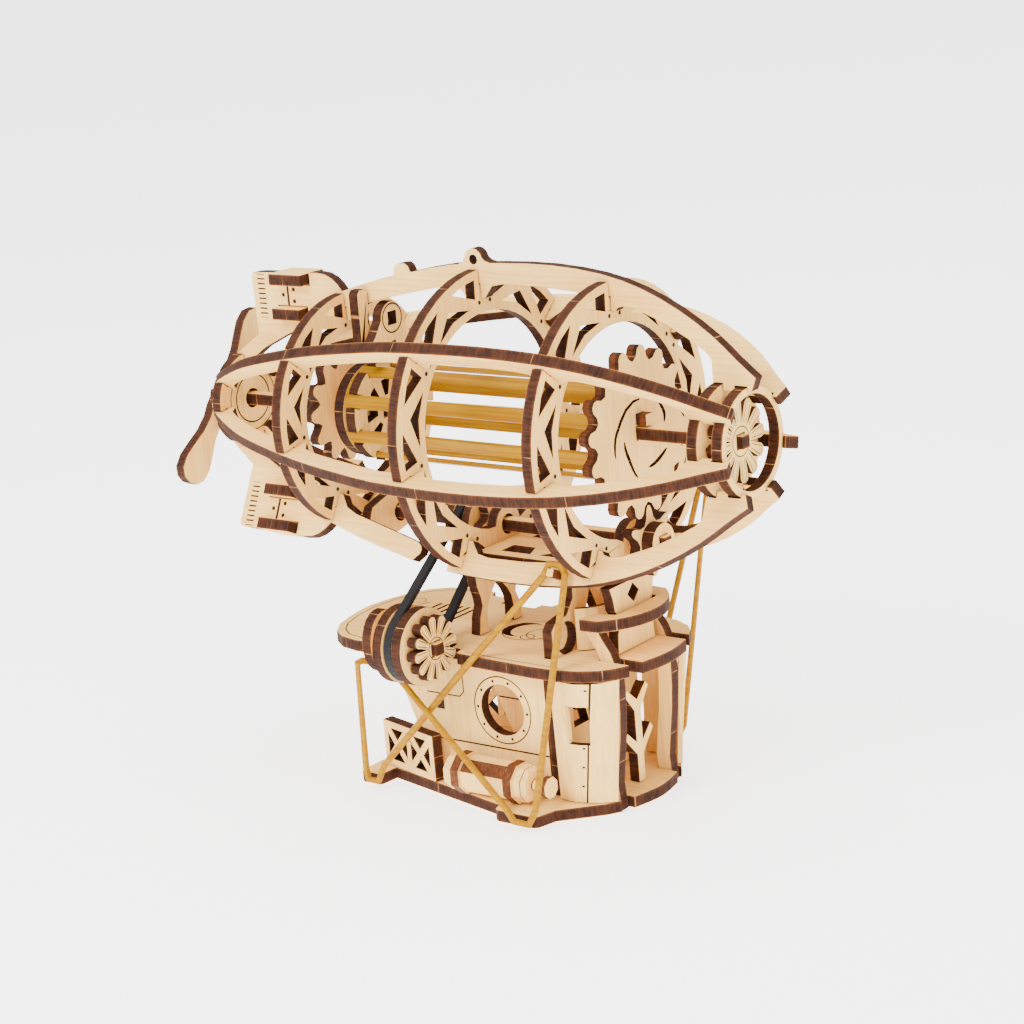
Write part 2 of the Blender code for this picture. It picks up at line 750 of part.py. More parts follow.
def lathe(name, mat, profile, sides, centre, parent=None, bore=None, turn=0.0):
    """Solid of revolution about X with a square bore or none; profile is (X, radius) aft to fore."""
    bm = bmesh.new()
    rows = []
    for x, radius in profile:
        rows.append([
            bm.verts.new((x * MM, p[0] * MM, p[1] * MM)) for p in circle(radius, sides, (0, 0), turn)
        ])
    for low, high in zip(rows, rows[1:]):
        for i in range(sides):
            j = (i + 1) % sides
            bm.faces.new((low[i], low[j], high[j], high[i]))
    ends = [rows[0], rows[-1]]
    if bore is None:
        bm.faces.new(list(reversed(ends[0])))
        bm.faces.new(ends[1])
    else:
        cap_with_bore(bm, ends, profile, bore, sides)
    bmesh.ops.recalc_face_normals(bm, faces=bm.faces)
    mesh = bpy.data.meshes.new(name)
    bm.to_mesh(mesh)
    bm.free()
    mesh.shade_smooth()
    mesh.set_sharp_from_angle(angle=math.radians(35.0))
    return add(name, mesh, mat, (0, centre[0], centre[1]), None, parent)


def cap_with_bore(bm, ends, profile, bore, sides):
    """Closes both ends of a lathe round a square bore."""
    corners = square(2.0 * bore)
    squares = []
    for x in (profile[0][0], profile[-1][0]):
        squares.append([bm.verts.new((x * MM, p[0] * MM, p[1] * MM)) for p in corners])
    for rim, hole in zip(ends, squares):
        loops = [[v.co.copy() for v in rim], [v.co.copy() for v in hole][::-1]]
        verts = list(rim) + list(hole)[::-1]
        for a, b, c in tessellate_polygon(loops):
            bm.faces.new((verts[a], verts[b], verts[c]))
    for i in range(4):
        j = (i + 1) % 4
        bm.faces.new((squares[0][i], squares[1][i], squares[1][j], squares[0][j]))


# Lower shaft, belt and side engine


def belt_loop(grow):
    """Outline of a belt round both pulleys, at a distance outside their cores."""
    ay, az, ra, _ = PULLEY_UP
    by, bz, rb, _ = PULLEY_DOWN
    ra, rb = ra + grow, rb + grow
    span = math.hypot(by - ay, bz - az)
    heading = math.atan2(bz - az, by - ay)
    lean = math.acos((ra - rb) / span)
    points = []
    for k in range(15):
        angle = heading + lean + (2.0 * math.pi - 2.0 * lean) * k / 14.0
        points.append((ay + ra * math.cos(angle), az + ra * math.sin(angle)))
    for k in range(19):
        angle = heading - lean + 2.0 * lean * k / 18.0
        points.append((by + rb * math.cos(angle), bz + rb * math.sin(angle)))
    return points


def pulley_profile(core, flange, thick):
    """Two flanges with a groove, centred on the belt."""
    half = BELT_WIDE / 2.0 + 0.3
    return [
        (BELT_X - half - thick, flange), (BELT_X - half, flange), (BELT_X - half, core),
        (BELT_X + half, core), (BELT_X + half, flange), (BELT_X + half + thick, flange),
    ]


def build_layshaft(ply):
    """Layshaft under the main gear with pinion, star wheel and belt pulley."""
    axis = empty("layshaft_axis", (0.0, *LAYSHAFT))
    bar = [square(SHAFT + 2 * GAP)]
    shaft = square_shaft("layshaft", ply, -39.6, 43.4, LAYSHAFT, axis)
    washer = cross_plate("shaft_washer", ply, circle(4.0, 24), [], -34.8, LAYSHAFT)
    fuse(shaft, washer)
    pitch_radius = MODULE * PINION_TEETH / 2.0
    phase = math.degrees(math.atan2(LAYSHAFT[1], LAYSHAFT[0])) + 180.0
    teeth = tooth_ring(PINION_TEETH, pitch_radius - 2.2, pitch_radius + 1.4, phase, 0.24, 0.09)
    pinion = cross_plate("pinion", ply, teeth, bar, 39.2, LAYSHAFT, PLY, axis)
    disc = cross_plate("pinion_disc", ply, circle(4.2, 24), bar, 42.2, LAYSHAFT, 3.2)
    fuse(pinion, disc)
    star = tooth_ring(6, 3.4, 5.6, 0.0, 0.26, 0.12)
    cross_plate("star_wheel", ply, star, bar, -3.0, LAYSHAFT, PLY, axis)
    _, _, core, flange = PULLEY_UP
    lathe("belt_pulley", ply, pulley_profile(core, flange, FLANGE_UP), 32, LAYSHAFT, axis, BORE_SIDE)


def build_engine(ply, rubber_black):
    """Side engine driven by the belt."""
    centre = PULLEY_DOWN[:2]
    axis = empty("engine_axis", (0.0, *centre))
    bar = [square(SHAFT + 2 * GAP)]
    _, _, core, flange = PULLEY_DOWN
    square_shaft("engine_shaft", ply, -20.4, -1.2, centre, axis)
    lathe("engine_pulley", ply, pulley_profile(core, flange, FLANGE_DOWN), 40, centre, axis, BORE_SIDE)
    cross_plate("engine_fan", ply, fan_outline(12, 3.0, 7.4, 4.0), bar, -2.4, centre, PLY, axis)
    outline = belt_loop(GAP + BELT_THICK)
    mesh = prism("drive_belt", outline, [belt_loop(GAP)], -BELT_WIDE / 2.0, BELT_WIDE / 2.0)
    add("drive_belt", mesh, rubber_black, (BELT_X, 0, 0), ACROSS)
    cy, cz = centre
    plate = []
    for step in range(21):
        angle = math.radians(20.0 + 15.5 * step)
        plate.append((cy + 5.6 * math.cos(angle), cz + 7.2 * math.sin(angle)))
    foot = ROOF_TOP + 0.3
    plate += [(-19.1, foot), (-14.6, foot), (-14.6, -45.9), (-18.6, -44.6)]
    cross_plate("engine_bracket", ply, plate, [circle(BORE, 16, centre)], -16.5)


def build_brackets(ply):
    """Plates that carry the shafts inside the envelope."""
    side = PLY / 2.0 + GAP
    lower = [
        beside_longeron(BOTTOM_STBD, 22.6, side), beside_longeron(BOTTOM_STBD, 28.4, side),
        (-5.0, -27.4), (0.0, -28.9), (5.5, -27.6),
        beside_longeron(BOTTOM_PORT, 28.4, -side), beside_longeron(BOTTOM_PORT, 22.6, -side),
        (6.0, -19.6), (1.5, -18.4), (-3.5, -19.6),
    ]
    cross_plate("bracket_lower", ply, lower, [circle(BORE, 16, LAYSHAFT)], -31.2)
    eye = (1.0, 21.4)
    upper = [(eye[0] + p[0], eye[1] + p[1]) for p in circle(3.9, 18) if p[1] > -0.8]
    upper += [(-5.4, 18.0), (-7.9, 15.8), (-7.9, 12.9), (7.9, 12.9), (7.9, 16.4), (5.6, 18.6)]
    plate = cross_plate("bracket_upper", ply, upper, [square(3.0, eye)], -28.0)
    post = [(-5.2, 13.0), (-1.75, 13.0), (-1.75, 27.6), (-2.5, 28.5), (-4.4, 28.5), (-5.2, 27.6)]
    post = cross_plate("bracket_post", ply, post, [], -32.3)
    tie = [(-5.1, 13.4), (-2.2, 13.4), (-2.2, 16.4), (-5.1, 16.4)]
    tie = cross_plate("bracket_tie", ply, tie, [], -29.0, (0, 0), 4.5)
    fuse(plate, post)
    fuse(plate, tie)
    keel = [(0.3, -11.2), (31.7, -11.2), (31.7, 11.2), (0.3, 11.2)]
    holes = [
        [(5.0, -8.2), (13.0, -8.2), (11.0, -3.4), (5.0, -3.4)], [(15.0, -8.2), (20.0, -8.2), (20.0, -3.2)],
        [(5.0, 8.2), (13.0, 8.2), (11.0, 3.4), (5.0, 3.4)], [(15.0, 8.2), (20.0, 8.2), (20.0, 3.2)],
    ]
    mesh = prism("keel_plate", keel, holes, -PLY, 0.0)
    add("keel_plate", mesh, ply, (0, 0, -27.5), LEVEL)


# Gondola


def half_plan(points):
    """Symmetric plan outline from its starboard half, aft to fore."""
    return points + [(x, -y) for x, y in reversed(points)]


def rib_notch(edge_aft, edge_fore, depth_x):
    """Slot in the fore edge of a level plate for one cabin rib, on the starboard side."""
    half = PLY / 2.0 + GAP
    return [
        (edge_aft, -RIB_Y - half), (depth_x, -RIB_Y - half), (depth_x, -RIB_Y + half),
        (edge_fore, -RIB_Y + half),
    ]


def crescent_hole():
    """Crescent cut through the roof."""
    outer = [(3.0 + 5.0 * math.cos(math.radians(a)), 5.0 * math.sin(math.radians(a))) for a in range(70, 291, 20)]
    inner = [(4.9 + 4.6 * math.cos(math.radians(a)), 4.6 * math.sin(math.radians(a))) for a in range(270, 89, -20)]
    return outer + inner


def build_decks(ply):
    """Base plate, roof and visor."""
    base = half_plan([
        (-29.5, -8.0), (-29.5, -12.4), (-31.0, -14.0), (-31.0, -21.2), (-30.2, -21.8), (-25.6, -21.8),
        (-25.0, -21.0), (-24.6, -16.7), (12.0, -25.2), (12.4, -27.2), (13.4, -28.0), (23.2, -28.0),
        (24.2, -27.2), (25.4, -22.6), (29.0, -19.0), (33.4, -14.6),
    ] + rib_notch(35.4, 36.5, 31.1) + [(37.5, -4.0), (37.9, -1.2)])
    cuts = [[(-20.0, -8.0), (-4.0, -10.0), (-4.0, 10.0), (-20.0, 8.0)]]
    mesh = prism("base_plate", base, cuts, -PLY, 0.0)
    add("base_plate", mesh, ply, (0, 0, BASE_TOP), LEVEL)
    roof = half_plan([
        (-43.5, -1.6), (-42.5, -7.2), (-40.8, -13.0), (-38.0, -17.4), (-34.0, -20.2), (-29.0, -21.3),
        (-21.5, -21.3), (-20.4, -18.5), (-14.8, -18.3), (-14.4, -14.2), (-4.8, -14.2), (-4.4, -16.9),
        (-1.6, -16.9), (-1.0, -19.6), (10.0, -20.3), (20.0, -20.8), (27.0, -20.6), (32.0, -19.3),
        (36.0, -17.2), (38.4, -14.6),
    ] + rib_notch(40.0, 41.3, 31.9) + [(42.2, -4.0), (42.5, -1.4)])
    grille = [[(x, -9.0), (x + 0.8, -9.0), (x + 0.8, 9.0), (x, 9.0)] for x in (-28.4 + 2.1 * k for k in range(6))]
    aft, fore = BULKHEAD_X - PLY - GAP, BULKHEAD_X + GAP
    slot = [(aft, -15.0), (fore, -15.0), (fore, 15.0), (aft, 15.0)]
    mesh = prism("roof", roof, grille + [slot, crescent_hole()], -PLY, 0.0)
    add("roof", mesh, ply, (0, 0, ROOF_TOP), LEVEL)
    visor = [(29.0, -13.6), (33.6, -13.2)]
    visor += [(23.4 + x, y) for x, y in (polar(16.6, a) for a in range(-46, 47, 10))]
    visor += [(33.6, 13.2), (29.0, 13.6), (29.2, 9.0), (34.6, 7.7), (35.0, 6.6), (35.0, -6.6), (34.6, -7.7)]
    visor += [(29.2, -9.0)]
    mesh = prism("visor", visor, [], -PLY, 0.0)
    add("visor", mesh, ply, (0, 0, VISOR_TOP), LEVEL)


def truss_frame(length, tall, bays, bar):
    """Rectangular frame with crossed braces, as outline and holes."""
    outline = [(0.0, 0.0), (length, 0.0), (length, tall), (0.0, tall)]
    wide = (length - bar) / bays
    holes = []
    for k in range(bays):
        a, b = bar + k * wide, (k + 1) * wide
        low, high = bar, tall - bar
        mid_x, mid_y = (a + b) / 2.0, (low + high) / 2.0
        inset = 0.75 * bar
        holes.append([(a + inset, low), (b - inset, low), (mid_x, mid_y - inset)])
        holes.append([(a + inset, high), (mid_x, mid_y + inset), (b - inset, high)])
        holes.append([(a, low + inset), (mid_x - inset, mid_y), (a, high - inset)])
        holes.append([(b, low + inset), (b, high - inset), (mid_x + inset, mid_y)])
    return outline, holes


def build_walls(ply):
    """Side walls with a porthole, and the truss frames along the base."""
    low = BASE_TOP + GAP
    high = ROOF_TOP - PLY - GAP
    stop = BULKHEAD_X - PLY - GAP
    outline = [(-13.0, low), (stop, low), (stop, high), (-25.0, high), (-21.5, -60.0), (-17.0, -71.0)]
    holes = [circle(5.9, 30, (7.3, -62.2)), [(8.4, -78.6), (12.4, -78.6), (12.4, -74.4), (8.4, -74.4)]]
    for sign, side in ((-1, "starboard"), (1, "port")):
        mesh = prism("wall_" + side, outline, holes, -PLY / 2.0, PLY / 2.0)
        add("wall_" + side, mesh, ply, (0, sign * WALL_Y, 0), UPRIGHT)
        frame, gaps = truss_frame(19.0, 10.8, 2, 1.6)
        lean = math.radians(14.6)
        along = Vector((math.cos(lean), sign * math.sin(lean), 0.0))
        mesh = prism("truss_" + side, frame, gaps, -PLY / 2.0, PLY / 2.0)
        add("truss_" + side, mesh, ply, (-27.8, sign * 14.4, low), (along, Vector((0, 0, 1))))


def build_bulkhead(ply):
    """Cabin bulkhead that passes up through the roof to the keel plate."""
    low = BASE_TOP + GAP
    under = ROOF_TOP - PLY - GAP
    half = [
        (15.4, low), (15.4, under), (14.8, under), (14.8, -42.4), (13.4, -41.0), (9.0, -40.2), (6.4, -37.0),
        (6.0, -30.5),
    ]
    outline = half + [(-y, z) for y, z in reversed(half)]
    holes = [circle(3.7, 20, (-9.6, -45.2)), circle(3.7, 20, (9.6, -45.2))]
    holes += [[(-1.8, -48.0), (1.8, -48.0), (3.4, -44.0), (0.0, -36.5), (-3.4, -44.0)]]
    for sign in (-1, 1):
        holes.append([(sign * 4.0, -66.0), (sign * 9.5, -66.0), (sign * 9.5, -57.0), (sign * 6.5, -57.0)])
        holes.append([(sign * 7.0, -78.0), (sign * 9.2, -78.0), (sign * 9.2, -70.0), (sign * 7.0, -72.0)])
    cross_plate("bulkhead", ply, outline, holes, BULKHEAD_X)


def build_cabin(ply):
    """Ribs, bent corner panels, control lever and the masts between cabin and envelope."""
    top = VISOR_TOP - PLY - GAP
    edge = [
        (35.0, BASE_TOP - PLY), (34.5, -77.0), (35.2, -71.5), (36.0, -66.0), (36.5, -60.0), (36.6, -55.0),
        (36.4, -50.0), (35.0, -46.5), (33.2, -44.0), (32.0, top),
    ]
    rib = edge + [(x - RIB_WIDE, z) for x, z in reversed(edge)]
    for sign, side in ((-1, "starboard"), (1, "port")):
        mesh = prism("rib_" + side, rib, [], -PLY / 2.0, PLY / 2.0)
        add("rib_" + side, mesh, ply, (0, sign * RIB_Y, 0), UPRIGHT)
        corner_panel("corner_panel_" + side, ply, sign)
    low = BASE_TOP + GAP
    half = [
        (1.2, low), (1.2, -73.6), (5.4, -69.0), (4.4, -67.6), (1.2, -70.6), (1.2, -63.4), (4.6, -59.0),
        (3.6, -57.8), (0.0, -61.0),
    ]
    lever = half + [(-y, z) for y, z in reversed(half[:-1])]
    cross_plate("control_lever", ply, lever, [], 33.0)
    foot = ROOF_TOP + GAP
    outer = [(8.0, foot), (7.4, -44.5), (6.2, -41.9), (6.6, -39.8), (7.6, -37.2), (7.9, -34.7), (6.6, -31.8)]
    inner = [(4.5, foot), (4.8, -44.7), (4.4, -42.5), (3.2, -40.4), (0.9, -38.0)]
    legs = outer + [(-y, z) for y, z in reversed(outer)]
    legs += [(-y, z) for y, z in inner] + inner[::-1]
    cross_plate("mast_aft", ply, legs, [], -3.2)
    half = [(7.0, foot), (6.6, -44.0), (5.4, -41.0), (7.2, -38.6), (7.6, -36.0), (8.6, -33.1)]
    mast = half + [(-y, z) for y, z in reversed(half)]
    cross_plate("mast_fore", ply, mast, [square(3.0, (0.0, -36.1), 45.0)], 34.2)
    arc = [math.radians(-62.0 + 15.5 * k) for k in range(9)]
    cowl = [(19.6 + 9.4 * math.cos(a), 9.4 * math.sin(a)) for a in arc]
    cowl += [(19.6 + 8.2 * math.cos(a), 8.2 * math.sin(a)) for a in reversed(arc)]
    mesh = prism("mast_cowl", cowl, [], 0.0, 9.6)
    add("mast_cowl", mesh, ply, (0, 0, foot), LEVEL)


def corner_panel(name, mat, sign):
    """Bent panel with a window between the bulkhead and a cabin rib."""
    rows = [BASE_TOP + GAP, -66.0, -57.0, ROOF_TOP - PLY - GAP]
    foot = [
        (BULKHEAD_X + 0.4, 16.2), (24.8, 16.5), (26.8, 16.4), (28.8, 16.0), (30.7, 15.3), (32.3, 14.3),
        (33.7, 13.2), (34.7, 12.3),
    ]
    head = [
        (BULKHEAD_X + 0.4, 16.8), (25.4, 18.6), (28.2, 19.3), (30.9, 19.2), (33.4, 18.2), (35.4, 16.6),
        (36.7, 14.5), (37.2, 12.3),
    ]
    bm = bmesh.new()
    grid = []
    for z in rows:
        part = (z - rows[0]) / (rows[-1] - rows[0])
        plan = [(xa + (xb - xa) * part, ya + (yb - ya) * part) for (xa, ya), (xb, yb) in zip(foot, head)]
        grid.append([bm.verts.new((x * MM, sign * y * MM, z * MM)) for x, y in plan])
    for r in range(3):
        for c in range(len(foot) - 1):
            if r == 1 and 2 <= c <= 3:
                continue
            bm.faces.new((grid[r][c], grid[r][c + 1], grid[r + 1][c + 1], grid[r + 1][c]))
    bmesh.ops.recalc_face_normals(bm, faces=bm.faces)
    mesh = bpy.data.meshes.new(name)
    bm.to_mesh(mesh)
    bm.free()
    obj = add(name, mesh, mat)
    sheet = obj.modifiers.new("sheet", "SOLIDIFY")
    sheet.thickness = 1.2 * MM
    sheet.offset = 0.0
    sheet.use_even_offset = True
    return obj


def build_tank(ply):
    """Octagonal tank with two straps and a valve wheel beside the gondola."""
    profile = [
        (-3.5, 3.4), (-2.6, 4.2), (-0.6, 4.2), (-0.6, 4.8), (1.8, 4.8), (1.8, 4.2), (14.0, 4.2), (14.0, 4.8),
        (16.4, 4.8), (16.4, 4.2), (18.6, 4.2), (19.5, 3.4), (19.5, 1.3), (22.4, 1.3), (22.4, 2.5), (24.2, 2.5),
    ]
    lathe("tank", ply, profile, 8, (-21.8, -75.6), turn=22.5)


def build_stays(rubber):
    """Rubber bands from the envelope round the gondola's hooks."""
    foot = -81.2
    starboard = [
        (29.2, -17.2, -27.8), (28.0, -17.0, -26.0), (25.0, -17.0, -26.0), (23.6, -17.3, -28.6),
        (4.0, -20.9, -49.4), (1.6, -21.2, -52.0), (-22.6, -23.1, -77.4), (-24.2, -23.6, foot),
        (-27.2, -23.6, foot), (-27.9, -23.3, -78.8), (-21.2, -30.0, -50.4), (-20.8, -28.6, -50.2),
        (-20.6, -20.6, -53.6), (17.0, -29.3, -78.8), (19.2, -29.5, -81.5), (23.2, -29.5, -81.6),
        (24.8, -28.9, -78.4),
    ]
    port = [
        (36.0, 28.2, -20.0), (34.9, 28.0, -19.2), (33.8, 28.3, -20.2), (14.0, 29.2, -78.0), (14.2, 29.2, foot),
        (22.8, 29.2, foot), (24.6, 29.2, -78.0),
    ]
    tube("stay_starboard", rubber, starboard, 0.85, True, None, 1)
    tube("stay_port", rubber, port, 0.75, True, None, 1)


def main():
    """Builds the whole airship."""
    clear_scene()
    ply = material("birch_ply", (0.78, 0.62, 0.42), 0.6)
    rubber = material("yellow_rubber", (0.80, 0.42, 0.02), 0.45)
    black = material("black_rubber", (0.02, 0.02, 0.025), 0.6)
    build_longerons(ply)
    build_fin_plates(ply)
    build_rings(ply)
    build_rotor(ply, rubber)
    build_layshaft(ply)
    build_engine(ply, black)
    build_brackets(ply)
    build_decks(ply)
    build_walls(ply)
    build_bulkhead(ply)
    build_cabin(ply)
    build_tank(ply)
    build_stays(rubber)


main()
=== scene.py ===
"""Dresses the plywood airship kit: laser cut birch, charred edges, engraving, rubber bands and a studio."""
import math

import bpy
from bpy.props import FloatProperty, FloatVectorProperty, PointerProperty
from mathutils import Matrix, Vector


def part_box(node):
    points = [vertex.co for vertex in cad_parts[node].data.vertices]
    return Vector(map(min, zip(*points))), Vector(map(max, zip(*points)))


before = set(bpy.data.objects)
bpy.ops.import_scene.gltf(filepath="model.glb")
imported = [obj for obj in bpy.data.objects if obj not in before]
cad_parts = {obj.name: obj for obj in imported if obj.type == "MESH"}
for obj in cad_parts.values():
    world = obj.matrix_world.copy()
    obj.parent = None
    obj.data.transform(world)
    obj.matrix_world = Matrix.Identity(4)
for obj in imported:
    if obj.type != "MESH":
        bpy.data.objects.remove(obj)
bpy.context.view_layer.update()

bl_info = {
    "name": "Plywood Airship Finishes",
    "version": (1, 0, 0),
    "blender": (4, 5, 0),
    "location": "3D View > Sidebar > Airship",
    "description": "Birch, charred edges, engraving and rubber for a plywood airship kit",
    "category": "Object",
}

# Positions in the shaders are in millimetres, and their heights count from the envelope's axis.
MM = 0.001
AXIS_Z = 83.0
LONGERON_STEP = 360.0 / 7
ALONG, ACROSS, UP = (1, 0, 0), (0, 1, 0), (0, 0, 1)

# Centres of wheels and holes, as (side, height) or (length, height).
HUB = (0, 0)
LAYSHAFT = (1.5, -24.4)
ENGINE = (-24.6, -46.2)
PORTHOLE = (7.3, -62.2)

# Softness of an engraved mark's edge.
SOFT = 0.05

# How far each noise is stretched along the grain, across it and into the sheet.
PATCH = (0.03, 0.10, 0.05)
STREAK = (0.06, 1.6, 0.2)
FLECK = (0.35, 3.4, 0.6)
BURN = (2.4, 2.4, 0.35)
CLOUD = (0.25, 0.25, 0.3)
PLY_GLOSS = 0.12


def linear(red, green, blue):
    """Linear colour from 8 bit display values."""
    shares = (red / 255, green / 255, blue / 255)
    return tuple(((c + 0.055) / 1.055) ** 2.4 if c > 10 / 255 else c / 12.92 for c in shares)


def colour(label, text, value):
    """Colour setting."""
    return FloatVectorProperty(
        name=label, description=text, subtype="COLOR", size=3, min=0, max=1, default=value
    )


class AirshipFinish(bpy.types.PropertyGroup):
    """Colours and small sizes of the finish."""

    birch: colour("Birch", "Face of the plywood", linear(248, 204, 120))
    birch_dark: colour("Birch grain", "Darker streaks in the face", linear(226, 172, 88))
    char: colour("Char", "Middle of a laser cut edge", linear(70, 37, 19))
    char_deep: colour("Deep char", "Darkest burnt streaks of a cut edge", linear(32, 16, 11))
    char_rim: colour("Charred rim", "Edge of the sheet beside the face", linear(108, 58, 27))
    engraving: colour("Engraving", "Burnt lines and dots", linear(44, 22, 10))
    tick: colour("Tab mark", "Pale marks where a piece was held in its sheet", linear(214, 150, 84))
    rubber_yellow: colour("Yellow rubber", "Rubber motor and stays", linear(162, 117, 0))
    rubber_shade: colour("Yellow rubber shade", "Darker streaks of the yellow rubber", linear(146, 94, 0))
    rubber_black: colour("Black rubber", "Drive belt", linear(16, 16, 18))
    rubber_worn: colour("Worn black rubber", "Lighter weave of the drive belt", linear(30, 30, 33))
    floor: colour("Floor", "Studio floor", linear(252, 252, 252))
    floor_haze: colour("Floor haze", "Faint clouds in the floor", (0.9, 0.9, 0.9))
    sheet: FloatProperty(name="Sheet", description="Plywood thickness", subtype="DISTANCE",
                         default=2.7 * MM)
    bevel: FloatProperty(name="Edge softness", description="Rounding of the cut edges", subtype="DISTANCE",
                         default=0.14 * MM)
    line: FloatProperty(name="Engraved line", description="Half width of an engraved line, in millimetres",
                        default=0.2)


class Signal:
    """An output socket that Python expressions can work on."""

    def __init__(self, shader, socket):
        self.shader = shader
        self.socket = socket

    def math(self, operation, *values):
        """Adds a Math node on this value."""
        sockets = dict(enumerate((self, *values)))
        return self.shader.node("ShaderNodeMath", {"operation": operation}, sockets)

    def __add__(self, other):
        return self.math("ADD", other)

    __radd__ = __add__

    def __sub__(self, other):
        return self.math("SUBTRACT", other)

    def __rsub__(self, other):
        return (self * -1.0) + other

    def __mul__(self, other):
        return self.math("MULTIPLY", other)

    __rmul__ = __mul__

    def __truediv__(self, other):
        return self.math("DIVIDE", other)

    def __abs__(self):
        return self.math("ABSOLUTE")

    def __pow__(self, other):
        return self.math("POWER", other)

    def either(self, other):
        """The larger of two masks."""
        return self.math("MAXIMUM", other)

    def both(self, other):
        """The smaller of two masks."""
        return self.math("MINIMUM", other)

    def ramp(self, low, high, start=0.0, stop=1.0):
        """Smooth step from start at low to stop at high."""
        sockets = {0: self, 1: low, 2: high, 3: start, 4: stop}
        return self.shader.node("ShaderNodeMapRange", {"interpolation_type": "SMOOTHSTEP"}, sockets)

    def under(self, limit, soft=0.03):
        """Mask of what lies below a limit."""
        return self.ramp(limit - soft, limit + soft, 1.0, 0.0)


class Shader:
    """A material and the one method that adds its nodes."""

    def __init__(self, name):
        self.material = bpy.data.materials.new(name)
        self.material.use_nodes = True
        self.tree = self.material.node_tree
        self.surface = self.tree.nodes["Principled BSDF"]
        here = self.node("ShaderNodeTexCoord", {}, {}, "Object")
        self.here = here
        self.normal = self.node("ShaderNodeTexCoord", {}, {}, "Normal")
        self.x = self.along((1, 0, 0))
        self.y = self.along((0, 1, 0))
        self.z = self.along((0, 0, 1)) - AXIS_Z
        self.place = (self.x, self.y, self.z)

    def node(self, kind, settings, sockets, output=0):
        """Adds a node: its settings first, then the values or links of its sockets."""
        made = self.tree.nodes.new(kind)
        for key, value in settings.items():
            setattr(made, key, value)
        for key, value in sockets.items():
            if isinstance(value, Signal):
                self.tree.links.new(value.socket, made.inputs[key])
            else:
                made.inputs[key].default_value = value
        return Signal(self, made.outputs[output])

    def along(self, axis, offset=0.0):
        """Position along an axis, in millimetres."""
        sockets = {0: self.here, 1: tuple(1000.0 * a for a in axis)}
        value = self.node("ShaderNodeVectorMath", {"operation": "DOT_PRODUCT"}, sockets, "Value")
        return value - offset if offset else value

    def facing(self, axis):
        """How squarely the surface faces an axis, either way."""
        sockets = {0: self.normal, 1: tuple(axis)}
        return abs(self.node("ShaderNodeVectorMath", {"operation": "DOT_PRODUCT"}, sockets, "Value"))

    def noise(self, place, stretch, detail=2.0, roughness=0.5):
        """Noise over three positions, each stretched by its own factor."""
        spots = dict(enumerate(position * factor for position, factor in zip(place, stretch)))
        vector = self.node("ShaderNodeCombineXYZ", {}, spots)
        sockets = {"Vector": vector, "Scale": 1.0, "Detail": detail, "Roughness": roughness}
        return self.node("ShaderNodeTexNoise", {}, sockets, "Fac")

    def mix(self, factor, first, second):
        """Blend of two colours."""
        sockets = {0: factor, 6: self.rgb(first), 7: self.rgb(second)}
        return self.node("ShaderNodeMix", {"data_type": "RGBA"}, sockets, 2)

    @staticmethod
    def rgb(value):
        """A colour with full alpha, or the link that brings one."""
        return value if isinstance(value, Signal) else (*value, 1.0)

    def bump(self, height, strength, distance):
        """Bumped normal."""
        sockets = {"Height": height, "Strength": strength, "Distance": distance}
        return self.node("ShaderNodeBump", {}, sockets, "Normal")

    def set(self, **sockets):
        """Values or links of the surface's own sockets."""
        for key, value in sockets.items():
            socket = self.surface.inputs[key.replace("_", " ")]
            if isinstance(value, Signal):
                self.tree.links.new(value.socket, socket)
            else:
                socket.default_value = value

    def gloss(self, level):
        """How strongly the surface mirrors light."""
        self.surface.inputs["Specular IOR Level"].default_value = level


def distance(u, v, at):
    """Distance from a point of the plate."""
    return ((u - at[0]) ** 2 + (v - at[1]) ** 2) ** 0.5


def dot(u, v, at, radius):
    """Round burnt dot."""
    return distance(u, v, at).under(radius, 0.06)


def ring(u, v, at, radius, half):
    """Engraved circle."""
    return abs(distance(u, v, at) - radius).under(half, SOFT)


def stroke(u, v, start, stop, half):
    """Engraved straight line."""
    span = Vector(stop) - Vector(start)
    length = span.length
    way = span / length
    side = abs((u - start[0]) * -way.y + (v - start[1]) * way.x)
    run = abs((u - start[0]) * way.x + (v - start[1]) * way.y - length / 2)
    return side.under(half, SOFT).both(run.under(length / 2, SOFT))


def box_mark(u, v, at, half):
    """Solid rectangle."""
    return abs(u - at[0]).under(half[0], SOFT).both(abs(v - at[1]).under(half[1], SOFT))


def drawn_lines(u, v, points, half):
    """Engraved line through several points."""
    lines = [stroke(u, v, start, stop, half) for start, stop in zip(points, points[1:])]
    return together(lines)


def together(masks):
    """All of several masks."""
    joined = masks[0]
    for mask in masks[1:]:
        joined = joined.either(mask)
    return joined


def bend_round(u, v, at, count, turn=0.0):
    """Radius and offset from the nearest of several spokes about a point, as two positions."""
    du, dv = u - at[0], v - at[1]
    radius = (du ** 2 + dv ** 2) ** 0.5
    angle = dv.math("ARCTAN2", du) - math.radians(turn)
    folded = angle.math("PINGPONG", math.pi / count)
    return radius * folded.math("COSINE"), radius * folded.math("SINE")


def wood_face(shader, place):
    """Colour of the birch face, and the height of its grain."""
    finish = bpy.context.scene.airship_finish
    patch = shader.noise(place, PATCH, 3.0)
    streak = shader.noise(place, STREAK, 4.0, 0.6)
    fleck = shader.noise(place, FLECK)
    tone = streak.ramp(0.36, 0.72, 0.0, 0.62) + patch.ramp(0.35, 0.7, 0.0, 0.42)
    tone = tone + fleck.ramp(0.62, 0.78, 0.0, 0.35)
    face = shader.mix(tone, tuple(finish.birch), tuple(finish.birch_dark))
    return face, streak, streak * 0.5 + fleck * 0.25


